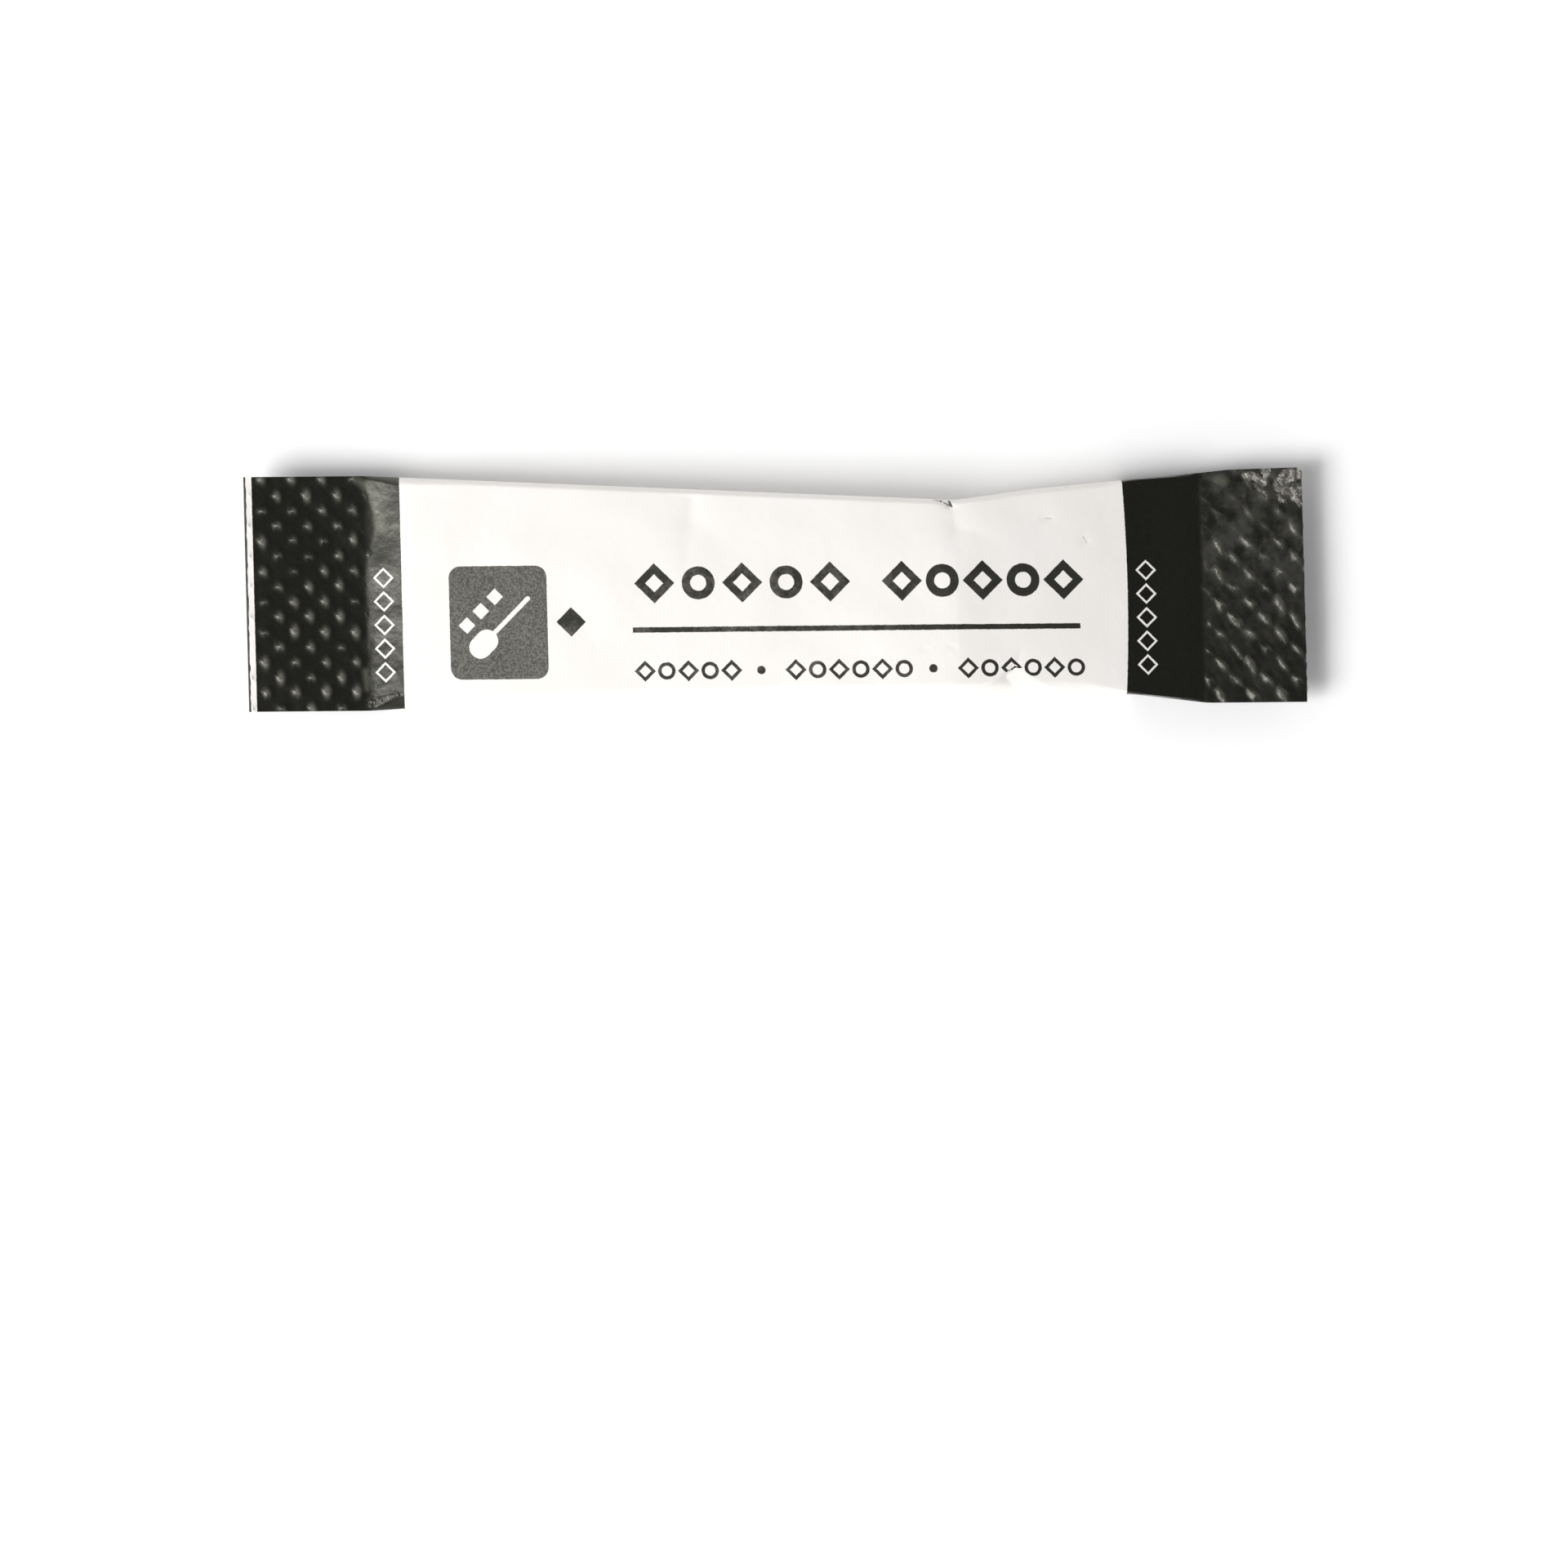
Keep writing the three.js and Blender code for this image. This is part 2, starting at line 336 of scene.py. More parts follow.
# Across the stick at x: middle and half of the width, how round the sides are, and the facets' widths
def section(x):
    upper = tube["halfWidth"] - alongBends(upperBends, x)
    lower = tube["halfWidth"] - alongBends(lowerBends, x)
    inBody = fromSeal(x)
    rightFacet = body["rightSharp"] + body["rightFacet"] * np.maximum(0, inBody - body["rightSharpEnd"])
    return dict(
        centre=(upper - lower) / 2,
        half=(upper + lower) / 2,
        open=ease(inBody / body["roundFrom"]),
        facets=[np.where(x < 0, np.maximum(body["leftSharp"], rate * inBody), rightFacet)
                for rate in body["leftFacet"]],
    )


# Columns are even on the seals and closer at the sides of the body
def spread(share, opened):
    return mix(share, np.sin(np.pi / 2 * share), density["frontSides"] * opened)


# Waves in the seals, and lumps of sugar in the body
def surfaceNoise(x, y, opened, inward):
    waves = body["waves"] * lumpy(x, y, body["waveSize"], 13)
    lumps = body["lumps"] * lumpy(x, y, body["lumpSize"], 11, 50)
    return mix(waves, lumps, opened) * clamp(body["sideShare"] + inward / body["fullSpan"])


# Height = middle + share of the thickness * side profile * dome - dents + relief. It also gives the height
# without the relief, and with the tucked paper, for the print to be laid out on.
def frontSurface(x, share):
    s = section(x)
    g = spread(share, s["open"])
    y = s["centre"] + s["half"] * g
    rise = mix(body["frontShare"], body["rightShare"], ramp(x, *body["shareFalls"])) * thickness(x, y)
    width = np.where(g < 0, np.minimum(body["lowerSide"], s["facets"][1]),
                     np.minimum(body["upperSide"], s["facets"][0]))
    inward = s["half"] * (1 - np.abs(g))
    form = sideProfile(inward, width, s["open"])
    z = middle(x) + tube["plies"] / 2 + rise * form * (1 - body["dome"] * g**2)
    hollowed, tucked = hollowDepth(x, y)
    sunk = sum(groove(dent, x, y) for dent in dents) * ease(inward / body["dentFade"]) + hollowed
    sunk = np.minimum(sunk, body["deepestDent"] * rise * form)
    sunk = sunk + sum(groove(fold, x, y) for fold in nickFolds)
    z = z - sunk + surfaceNoise(x, y, s["open"], inward)
    sheetZ = z - tucked
    crumpled = sum(height * lumpy(x, y, size, seed) for height, size, seed in wornCorner["crumples"])
    z = z + crimpRelief(x, y) + crumpled * nearCorner(x, y)
    return x + 0 * y, y, z, sheetZ


# The same from below, and never under the table. The shares are moved so that the middle columns
# follow the flap's cut edge along y = 0.
def backSurface(x, share):
    s = section(x)
    edge = -s["centre"] / s["half"]
    moved = np.where(share < 0, -1 + (share + 1) * (edge + 1), edge + share * (1 - edge))
    crowding = density["backSides"] * s["open"] * (1 - np.exp(-((share / density["flapShare"]) ** 2)))
    g = mix(moved, np.sin(np.pi / 2 * moved), crowding)
    y = s["centre"] + s["half"] * g
    sink = body["backShare"] * thickness(x, y)
    inward = s["half"] * (1 - np.abs(g))
    form = sideProfile(inward, np.minimum(body["backSide"], s["facets"][1]), s["open"])
    z = middle(x) - tube["plies"] / 2 - sink * form
    z = z + surfaceNoise(x, y, s["open"], inward)
    z = np.maximum(z, 0)
    sheetZ = z
    beyond = np.where(y > 0, np.exp(-y / seam["fade"]), 0)
    innerEdge = np.where(y < -seam["width"], np.exp((y + seam["width"]) / seam["fade"]), 0)
    z = z + seam["step"] * beyond + seam["inner"] * innerEdge + crimpRelief(x, y)
    return x + 0 * y, y, np.maximum(z, 0), sheetZ


# Stations along the stick: as many in each stretch as its density asks for
def stationPlaces():
    x = np.linspace(-cutX, cutX, 5000)
    crowd = np.where(fromSeal(x) < 0, density["seals"], density["body"])
    for spot in density["spots"]:
        crowd = crowd + spot["more"] * np.exp(-(((x - spot["x"]) / spot["width"]) ** 2))
    reached = np.cumsum(crowd) - crowd[0]
    return np.interp(np.linspace(0, reached[-1], tube["stations"]), reached, x)[:, None]


# Distance over the sheet from y = 0, positive towards +y, for the print to follow
def acrossSheet(y, z):
    steps = np.hypot(np.diff(y, axis=1), np.diff(z, axis=1))
    before = clamp(-y[:, :-1] / np.where(np.abs(np.diff(y, axis=1)) < 1e-9, 1e-9, np.diff(y, axis=1)))
    length = np.concatenate([np.zeros((len(y), 1)), np.cumsum(steps, axis=1)], axis=1)
    return length - np.sum(steps * before, axis=1, keepdims=True)


backStart = 40.0  # on the back, the sheet's across coordinate counts from here
cutStart = 80.0  # and on the cut ends from here


# Loops round the tube, front columns from -y to +y and then back columns from +y to -y: their points, and
# how far across the sheet each point is
def loopPoints(along):
    share = np.linspace(-1, 1, tube["columns"])[None, :]
    backShare = share.copy()
    half = tube["columns"] // 2
    backShare[0, half - 1:half + 1] = (-0.003, 0.003)  # the step at the flap's edge is steep
    fx, fy, fz, frontSheet = frontSurface(along, share)
    bx, by, bz, backSheet = backSurface(along, backShare)
    toCut = clamp(1 - (cutX - np.abs(along)) / cuts["reach"])
    ragged = cuts["ragged"] * lumpy(fy, 0 * fy, cuts["raggedSize"], 21)
    fx = fx + (ragged * np.sign(along) + np.where(along < 0, cuts["lip"], 0)) * toCut
    for xs, ys in ((fx, fy), (bx, by)):
        past = clamp(1 - (tube["halfWidth"] - ys) / cuts["cornerRound"])
        xs -= np.where(along > 0, cuts["cornerRound"] * (1 - np.sqrt(1 - past**2)) * toCut, 0)
    backAcross = backStart + acrossSheet(by, backSheet)
    x, y, z, across = (np.concatenate([front, back[:, ::-1]], axis=1) for front, back in (
        (fx, bx), (fy, by), (fz, bz), (acrossSheet(fy, frontSheet), backAcross)))
    return np.stack([x - tube["cutLean"] * y, y, z], axis=-1).reshape(-1, 3), across


# Quads between the loops, with their places on the sheet: along and across it. The narrow side walls take
# the colour beside them.
def skinQuads(along, across):
    count, around = across.shape
    station, column = np.meshgrid(np.arange(count - 1), np.arange(around), indexing="ij")
    following = (column + 1) % around
    quads = np.stack([station * around + column, (station + 1) * around + column,
                      (station + 1) * around + following, station * around + following], axis=-1)
    wall = (column == around // 2 - 1) | (column == around - 1)
    far = np.where(wall, column, following)
    here, there = along[station, 0], along[station + 1, 0]
    u = np.stack([here, there, there, here], axis=-1)
    v = np.stack([across[station, column], across[station + 1, column],
                  across[station + 1, far], across[station, far]], axis=-1)
    return quads.reshape(-1, 4), np.stack([u, v], axis=-1).reshape(-1, 4, 2)


# Two strips that meet in a shallow groove between the plies close a cut, with a triangle at each side
def closeCut(points, first, inwards):
    columns = np.arange(tube["columns"])
    atLeft = first == 0
    top, bottom, mid = first + columns, first + 2 * len(columns) - 1 - columns, len(points) + columns
    points = np.concatenate([points, (points[top] + points[bottom]) / 2 + np.array([inwards, 0, 0])])
    quads, quadUv = [], []
    for upper, lower, v in ((top, mid, cutStart), (mid, bottom, cutStart + 0.5)):
        strip = np.stack([upper[:-1], upper[1:], lower[1:], lower[:-1]], axis=-1)
        stripV = np.broadcast_to(v + np.array([0, 0, 0.5, 0.5]), strip.shape)
        uv = np.stack([points[strip, 1], stripV], axis=-1)
        quads.append(strip if atLeft else strip[:, ::-1])
        quadUv.append(uv if atLeft else uv[:, ::-1])
    triangles, triangleUv = [], []
    for side in (0, -1):
        corners = [top[side], mid[side], bottom[side]]
        triangles.append(corners[::-1] if (side == 0) == atLeft else corners)
        triangleUv.append([(points[top[side], 1], cutStart + 0.5)] * 3)
    return points, np.concatenate(quads), np.concatenate(quadUv), triangles, triangleUv


def addObject(name, data):
    item = bpy.data.objects.new(name, data)
    bpy.context.scene.collection.objects.link(item)
    return item


# Quads come first and then triangles, and each face has its own places on the sheet
def meshFrom(points, quads, quadUv, triangles, triangleUv):
    mesh = bpy.data.meshes.new("paper_stick")
    mesh.from_pydata((points * mm).tolist(), [], quads.tolist() + triangles.tolist())
    mesh.validate()
    mesh.shade_smooth()
    mesh.set_sharp_from_angle(angle=math.radians(65))
    uv = mesh.uv_layers.new(name="sheet")
    places = np.concatenate([quadUv.reshape(-1, 2), triangleUv.reshape(-1, 2)])
    uv.data.foreach_set("uv", places.astype(np.float32).reshape(-1))
    return mesh


# The closed skin of the tube: the loops' quads, and the two cuts
def buildStick():
    along = stationPlaces()
    points, across = loopPoints(along)
    quads, quadUv = skinQuads(along, across)
    firstOfLast = (tube["stations"] - 1) * across.shape[1]
    parts = [(quads, quadUv, [], [])]
    for first, inwards in zip((0, firstOfLast), cuts["grooves"]):
        points, *part = closeCut(points, first, inwards)
        parts.append(part)
    quads, quadUv = (np.concatenate([part[n] for part in parts]) for n in (0, 1))
    triangles, triangleUv = (np.array([item for part in parts for item in part[n]]) for n in (2, 3))
    return addObject("paper_stick", meshFrom(points, quads, quadUv, triangles, triangleUv))


paperStick = buildStick()
print("stick made:", len(paperStick.data.polygons), "faces")


def wire(value, socket):
    if isinstance(value, bpy.types.NodeSocket):
        socket.id_data.links.new(value, socket)
    else:
        socket.default_value = value


def place(tree, kind, inputs=None, output=0, **settings):
    node = tree.nodes.new(kind)
    for key, value in settings.items():
        setattr(node, key, value)
    for key, value in (inputs or {}).items():
        wire(value, node.inputs[key])
    return node.outputs[output]


# The node tree that the sockets among the values belong to
def treeOf(values):
    return next(value.id_data for value in values if isinstance(value, bpy.types.NodeSocket))


def maths(operation, *values):
    return place(treeOf(values), "ShaderNodeMath", dict(enumerate(values)), operation=operation)


def vectorMaths(operation, *vectors, output=0):
    return place(treeOf(vectors), "ShaderNodeVectorMath", dict(enumerate(vectors)), output,
                 operation=operation)


def minus(a, b):
    return maths("SUBTRACT", a, b)


def joined(operation, first, *more):
    for value in more:
        first = maths(operation, first, value)
    return first


def plus(*values):
    return joined("ADD", *values)


def product(*values):
    return joined("MULTIPLY", *values)


def largest(*values):
    return joined("MAXIMUM", *values)


def scaled(vector, factor):
    return place(vector.id_data, "ShaderNodeVectorMath", {0: vector, "Scale": factor}, operation="SCALE")


def components(vector):
    node = vector.id_data.nodes.new("ShaderNodeSeparateXYZ")
    wire(vector, node.inputs[0])
    return node.outputs[:]


def blend(factor, a, b):
    return place(factor.id_data, "ShaderNodeMix", {0: factor, 6: a, 7: b}, 2, data_type="RGBA")


# Rises from 0 to 1 as value goes from start to end
def step(value, start, end):
    return place(value.id_data, "ShaderNodeMapRange", {"Value": value, "From Min": start, "From Max": end},
                 interpolation_type="SMOOTHSTEP")


def noise(vector, scale, detail=2.0, roughness=0.5, output=0):
    return place(vector.id_data, "ShaderNodeTexNoise",
                 {"Vector": vector, "Scale": scale, "Detail": detail, "Roughness": roughness}, output)


# A value from 0 to 1 becomes one from -width / 2 to width / 2
def centred(value, width):
    return maths("MULTIPLY_ADD", value, width, -width / 2)


# The noise's colour, with each channel from -0.5 to 0.5
def waver(vector, scale, roughness):
    return vectorMaths("SUBTRACT", noise(vector, scale, 3.0, roughness, 1), (0.5, 0.5, 0.5))


def newGroup(name, inputs):
    group = bpy.data.node_groups.new(name, "ShaderNodeTree")
    for key, value in inputs.items():
        kind = "NodeSocketVector" if isinstance(value, tuple) else "NodeSocketFloat"
        group.interface.new_socket(key, in_out="INPUT", socket_type=kind).default_value = value
    group.interface.new_socket("Mask", in_out="OUTPUT", socket_type="NodeSocketFloat")
    return group, group.nodes.new("NodeGroupInput").outputs


def finishGroup(group, mask):
    wire(mask, group.nodes.new("NodeGroupOutput").inputs[0])
    return group


def useGroup(group, inputs):
    return place(treeOf(inputs.values()), "ShaderNodeGroup", inputs, node_tree=group)


# A row of like marks. Each is a box with its corners cut (power 1) or rounded (power 2), filled or
# drawn with a stroke: distance = (qx^p + qy^p)^(1/p) - corner, with q the way past the inset box.
def makeMarkRow():
    group, given = newGroup("markRow", {
        "Along": 0.0, "Across": 0.0, "Start": 0.0, "Line": 0.0, "Pitch": 1.0, "Count": 1.0,
        "Half Length": 1.0, "Half Height": 1.0, "Corner": 0.1, "Power": 2.0, "Stroke": 50.0,
        "Skip Every": 1000.0, "Soft": 0.03})
    cell = maths("DIVIDE", minus(given["Along"], given["Start"]), given["Pitch"])
    index = maths("FLOOR", cell)
    fromMiddle = minus(minus(cell, index), 0.5)
    local = product(fromMiddle, given["Pitch"])
    across = minus(given["Across"], given["Line"])
    past = []
    for value, half in ((local, given["Half Length"]), (across, given["Half Height"])):
        inset = minus(half, given["Corner"])
        beyond = minus(maths("ABSOLUTE", value), inset)
        past.append((beyond, maths("POWER", largest(beyond, 0.0), given["Power"])))
    outside = maths("POWER", plus(past[0][1], past[1][1]), maths("DIVIDE", 1.0, given["Power"]))
    within = maths("MINIMUM", largest(past[0][0], past[1][0]), 0.0)
    distance = minus(plus(outside, within), given["Corner"])
    negative = product(given["Soft"], -1.0)
    filled = step(distance, given["Soft"], negative)
    ring = step(plus(distance, given["Stroke"]), negative, given["Soft"])
    pastFirst = maths("GREATER_THAN", index, -0.5)
    beforeEnd = maths("LESS_THAN", index, minus(given["Count"], 0.5))
    last = minus(given["Skip Every"], 1.5)
    kept = maths("LESS_THAN", maths("MODULO", index, given["Skip Every"]), last)
    return finishGroup(group, product(filled, ring, pastFirst, beforeEnd, kept))


markRow = makeMarkRow()


# Distance from a line between two points: from + (to - from) * share is the nearest point, with share
# held in 0 to 1
def makeStroke():
    group, given = newGroup("stroke", {
        "Vector": (0, 0, 0), "From": (0, 0, 0), "To": (0, 0, 0), "Half Width": 0.1, "Soft": 0.04})
    away = vectorMaths("SUBTRACT", given["Vector"], given["From"])
    whole = vectorMaths("SUBTRACT", given["To"], given["From"])
    share = maths("DIVIDE", vectorMaths("DOT_PRODUCT", away, whole, output=1),
                  vectorMaths("DOT_PRODUCT", whole, whole, output=1))
    share = place(group, "ShaderNodeClamp", {"Value": share})
    distance = vectorMaths("DISTANCE", away, scaled(whole, share), output=1)
    edge = minus(distance, given["Half Width"])
    return finishGroup(group, step(edge, given["Soft"], product(given["Soft"], -1.0)))


stroke = makeStroke()


def drawStrokes(vector, strokes):
    return largest(*(
        useGroup(stroke, {"Vector": vector, "From": (*start, 0), "To": (*end, 0),
                          "Half Width": halfWidth, "Soft": soft})
        for start, end, halfWidth, soft in strokes))


# Peaks on every other crossing of a lattice, each a little out of its place, turned and higher or lower
# by chance. With s along its crest and t across, height = exp(-hypot(s / Length, t / Steep or Tail)),
# Steep on the side with t below 0.
def makePeaks():
    group, given = newGroup("crimpPeaks", {
        "Along": 0.0, "Across": 0.0, "Start Along": 0.0, "Start Across": 0.0, "Pitch": 1.0, "Turn": 0.6,
        "Length": 0.3, "Steep": 0.1, "Tail": 0.3, "Shift": 0.1})
    latticeX = minus(given["Along"], given["Start Along"])
    latticeY = minus(given["Across"], given["Start Across"])
    double = product(given["Pitch"], 2.0)
    cells, aways = [], []
    for operation in ("SUBTRACT", "ADD"):
        cell = maths("DIVIDE", maths(operation, latticeX, latticeY), double)
        cells.append(maths("ROUND", cell))
        aways.append(minus(cell, cells[-1]))
    chance = group.nodes.new("ShaderNodeTexWhiteNoise")
    wire(place(group, "ShaderNodeCombineXYZ", dict(enumerate(cells))), chance.inputs["Vector"])
    shift = vectorMaths("SUBTRACT", chance.outputs["Color"], (0.5, 0.5, 0.5))
    local = place(group, "ShaderNodeCombineXYZ", {
        0: product(plus(*aways), given["Pitch"]),
        1: product(minus(aways[1], aways[0]), given["Pitch"])})
    local = vectorMaths("ADD", local, scaled(shift, given["Shift"]))
    ownTurn = centred(chance.outputs["Value"], crimp["peakTurns"])
    turned = place(group, "ShaderNodeVectorRotate", {
        "Vector": local, "Angle": plus(given["Turn"], ownTurn)}, rotation_type="Z_AXIS")
    crest, aside = components(turned)[:2]
    lengthwise = maths("DIVIDE", crest, given["Length"])
    sideways = largest(maths("DIVIDE", aside, given["Tail"]),
                       maths("DIVIDE", product(aside, -1.0), given["Steep"]))
    squares = [product(part, part) for part in (lengthwise, sideways)]
    distance = maths("SQRT", plus(*squares))
    height = maths("EXPONENT", product(distance, -1.0))
    ownHeight = maths("MULTIPLY_ADD", chance.outputs["Value"], *crimp["peakHeights"])
    return finishGroup(group, product(height, ownHeight))


peaks = makePeaks()


# All the rows as one mask. An upright row runs across the stick, and a slanted one leans by its slant.
def drawRows(along, across, rows):
    masks = []
    for marks in rows:
        values = {key: value for key, value in marks.items() if key[0].isupper()}
        first, second = (across, along) if marks.get("upright") else (along, across)
        if "slant" in marks:
            shift = product(minus(second, values["Line"]), marks["slant"])
            first = minus(first, shift)
        masks.append(useGroup(markRow, {"Along": first, "Across": second, **values}))
    return largest(*masks)


# Lozenges have power 1 and rings power 2, with the corner as large as the half height
def row(start, line, pitch, count, halfLength, halfHeight, corner, power=2.0, stroke=50.0, skipEvery=1000.0,
        **more):
    return {"Start": start, "Line": line, "Pitch": pitch, "Count": float(count), "Half Length": halfLength,
            "Half Height": halfHeight, "Corner": corner, "Power": power, "Stroke": stroke,
            "Skip Every": skipEvery, **more}


# Lozenges and rings in turn, each as wide as it is high
def ornament(start, line, pitch, count, half, stroke):
    wide, narrow = half * 1.1, half * 0.9
    return [
        row(start - pitch / 2, line, 2 * pitch, (count + 1) // 2, wide, wide, wide, 1.0, stroke * 1.3),
        row(start + pitch / 2, line, 2 * pitch, count // 2, narrow, narrow, narrow, 2.0, stroke),
    ]


emblem = dict(x=-23.5, y=-2.6, halfLength=4.15, halfHeight=4.8, corner=1.0)
charcoalRows = [
    *ornament(-12.1, 0.6, 3.72, 5, 1.55, 0.72),
    *ornament(9.0, 0.6, 3.42, 5, 1.55, 0.72),
    row(-12.15, -3.34, 37.9, 1, 18.95, 0.23, 0.05),
    *ornament(-12.1, -6.83, 1.83, 5, 0.82, 0.3),
    *ornament(0.66, -6.83, 1.83, 6, 0.82, 0.3),
    *ornament(15.24, -6.83, 1.83, 6, 0.82, 0.3),
    row(-8.63, -6.83, 14.55, 2, 0.36, 0.36, 0.36),
    row(-18.6, -2.6, 2.5, 1, 1.25, 1.25, 1.25, 1.0),
    row(emblem["x"] - emblem["halfLength"], emblem["y"], 2 * emblem["halfLength"], 1,
        emblem["halfLength"], emblem["halfHeight"], emblem["corner"]),
]
# The emblem's white spoon and crystals, along the spoon and across it from the emblem's middle
spoonRows = [
    row(-3.55, -0.35, 2.7, 1, 1.35, 0.95, 0.95),
    row(-1.2, -0.35, 4.6, 1, 2.3, 0.19, 0.19),
    row(-2.9, 1.75, 1.7, 3, 0.5, 0.5, 0.02),
]
backRows = [
    *[mark for n in range(4) for mark in ornament(-29.0 + 15.15 * n, backStart - 6.7, 1.65, 7, 0.72, 0.25)],
    row(-29.0 + 5.775, backStart - 6.7, 15.15, 3, 0.12, 1.05, 0.05),
    row(-29.5, backStart + 2.95, 0.9, 66, 0.32, 0.45, 0.3, stroke=0.17, skipEvery=7.0),
    row(-16.0, backStart + 5.38, 0.9, 36, 0.32, 0.45, 0.3, stroke=0.17, skipEvery=6.0),
]
# Left out of the black ends: an ornament on each, and a figure on the back
paleRows = [
    row(-7.7, -33.2, 2.0, 5, 0.88, 0.88, 0.88, power=1.0, stroke=0.24, upright=True),
    row(-7.66, 31.4, 2.0, 5, 0.88, 0.88, 0.88, power=1.0, stroke=0.24, upright=True),
    row(-44.6, backStart - 2.8, 1.4, 1, 0.7, 0.13, 0.02),
    row(-44.6 + 0.45, backStart - 1.85, 1.0, 1, 0.14, 1.07, 0.02, slant=-0.45),
]
# Bare paper shows along the flap's edge on the back, with frayed borders
seamRows = [
    row(-45.5, backStart + 0.2, 13.87, 1, 6.935, 0.26, 0.02),
    row(29.9, backStart + 0.06, 1.9, 8, 0.78, 0.05, 0.02),
]

# Strokes on the front: from and to in x and y, half width, and how soft their edges are
# Painted shade: dark lines in the small folds in the upper side
nickShadeLines = [
    ((13.35, 7.5), (13.9, 7.34), 0.035, 0.05),
    ((13.98, 7.5), (14.08, 7.32), 0.1, 0.06),
    ((14.42, 7.46), (14.77, 7.3), 0.05, 0.05),
    ((14.77, 7.3), (14.97, 6.88), 0.09, 0.06),
    ((14.3, 7.19), (14.95, 6.87), 0.045, 0.06),
]
# Ink worn off at the right seal's upper corner. The first is no wear but a painted highlight along the fold
# at the lower end of the strip beside the left seal.
wornAndSheenPatches = [
    ((-34.4, -9.25), (-31.95, -8.55), 0.03, 0.25),
    ((43.1, 8.95), (44.5, 9.5), 0.5, 0.2),
    ((42.9, 8.4), (44.5, 8.0), 0.5, 0.2),
    ((44.2, 7.4), (44.6, 7.0), 0.3, 0.15),
    ((40.1, 9.4), (41.35, 8.75), 0.24, 0.2),
    ((40.95, 8.5), (41.8, 7.45), 0.12, 0.15),
    ((41.7, 9.9), (41.7, 9.4), 0.26, 0.1),
    ((42.75, 7.5), (43.25, 7.1), 0.13, 0.1),
]
# Painted light: highlights on the black strips beside the seals and on a flat of the right seal, and
# painted shade in two small dents
paintedLightStrokes = [
    ((37.6, 9.0), (38.1, 8.75), 0.3, 0.35),
    ((-35.3, 9.6), (-34.5, 8.9), 0.3, 0.35),
    ((-33.8, 7.2), (-33.2, 5.4), 0.2, 0.5),
    ((-34.85, -6.6), (-34.7, -8.1), 0.15, 0.35),
    ((22.95, 5.79), (23.4, 5.76), 0.02, 0.11),
    ((26.08, 4.22), (26.36, 3.72), 0.02, 0.11),
]

# Borders of the black ends along the stick, how far the right one bows, and half the width of an edge.
# At the left cut the front has a white margin.
blackEnds = dict(left=-31.65, right=29.82, bow=0.0033, margin=-44.17, edge=0.03)
# A pair of colours is mixed by the noise of the same name
colours = dict(
    paper=((0.825, 0.795, 0.765, 1), (0.845, 0.818, 0.797, 1)),
    greyPaper=(0.755, 0.735, 0.715, 1),
    singlePly=(0.785, 0.755, 0.725, 1),
    black=((0.007, 0.007, 0.006, 1), (0.0105, 0.0103, 0.009, 1)),
    charcoal=((0.015, 0.0145, 0.012, 1), (0.1, 0.097, 0.085, 1)),
    emblem=((0.055, 0.053, 0.046, 1), (0.16, 0.154, 0.14, 1)),
    # painted sheen on the black strip beside the left seal
    paintedSheenStrip=(0.12, 0.12, 0.1, 1),
    dust=(0.1, 0.098, 0.088, 1),
    wornAndSheen=((0.05, 0.047, 0.042, 1), (0.18, 0.168, 0.15, 1)),
    # painted highlight on the worn corner's folds and spots
    foldGlints=(0.42, 0.395, 0.365, 1),
    # painted highlight on black, painted shade on white paper
    paintedLightStrokes=(0.12, 0.125, 0.095, 1),
    # painted shade in the small folds
    nickShadeLines=(0.035, 0.035, 0.037, 1),
    # dark cut ends: ink and dirt between the plies, with painted shade of the gap between them
    cuts=((0.018, 0.018, 0.017, 1), (0.003, 0.003, 0.003, 1)),
    # the peaks' halos: rubbed ink and painted sheen
    peakRubAndSheen=(0.13, 0.127, 0.11, 1),
)
# Noises on the object: scale, detail and roughness. Patches set in between the last two values.
noises = dict(
    paper=(160.0, 4.0, 0.55, 0.3, 0.7),
    charcoal=(700.0, 5.0, 0.75, 0.42, 0.68),
    emblem=(5200.0, 3.0, 0.65, 0.36, 0.66),
    black=(5200.0, 3.0, 0.65, 0.4, 0.7),
    dust=(420.0, 4.0, 0.65, 0.36, 0.66),
    wornAndSheen=(1000.0, 3.0, 0.6, 0.36, 0.66),
    # the next two place the painted highlights in the worn corner
    glintFlecks=(1000.0, 3.0, 0.6, 0.42, 0.6),
    glintSpots=(2600.0, 3.0, 0.7, 0.56, 0.66),
    cuts=(900.0, 3.0, 0.6, 0.4, 0.6),
    scratches=(2600.0, 3.0, 0.7),
    fibres=(9000.0, 3.0, 0.6),
    grains=(800.0, 2.0, 0.5),
    creases=(330.0, 3.0, 0.5),
)
